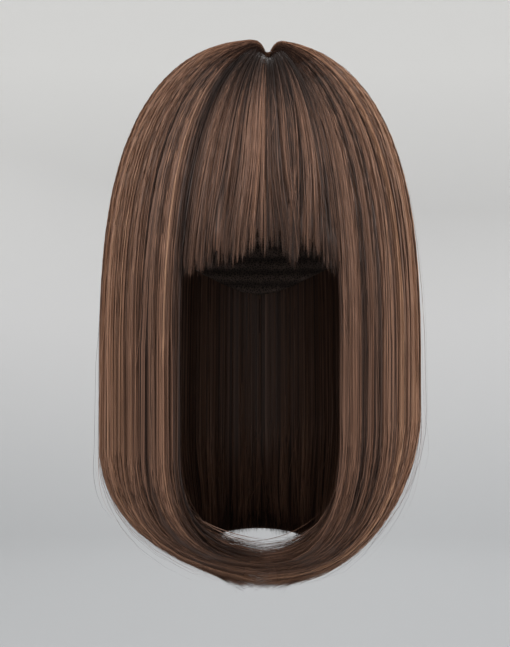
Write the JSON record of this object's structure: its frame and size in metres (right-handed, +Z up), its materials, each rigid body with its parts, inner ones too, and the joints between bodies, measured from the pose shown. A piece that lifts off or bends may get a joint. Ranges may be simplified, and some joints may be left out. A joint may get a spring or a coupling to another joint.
{
  "type": "bob wig",
  "caption": "Straight bob wig with a full fringe: hair falls from a short parting over a fitted cap, frames the face and curls in at the hem.",
  "frame": {"origin": "where the top of the wearer's head meets the inside of the cap", "axes": "+Z up out of the crown, the face looks along -Y, the wearer's left is +X"},
  "size_m": [0.211, 0.2295, 0.3515],
  "materials": {
    "hair": "mid brown straight fibre, satin",
    "cap": "dark net, matte"
  },
  "bodies": {
    "root": {"cap": "cap", "fringe": "hair", "face_lock_left": "hair", "face_lock_right": "hair", "side_curtain_left": "hair", "side_curtain_right": "hair", "back_curtain_left": "hair", "back_curtain_right": "hair"}
  },
  "joints": []
}
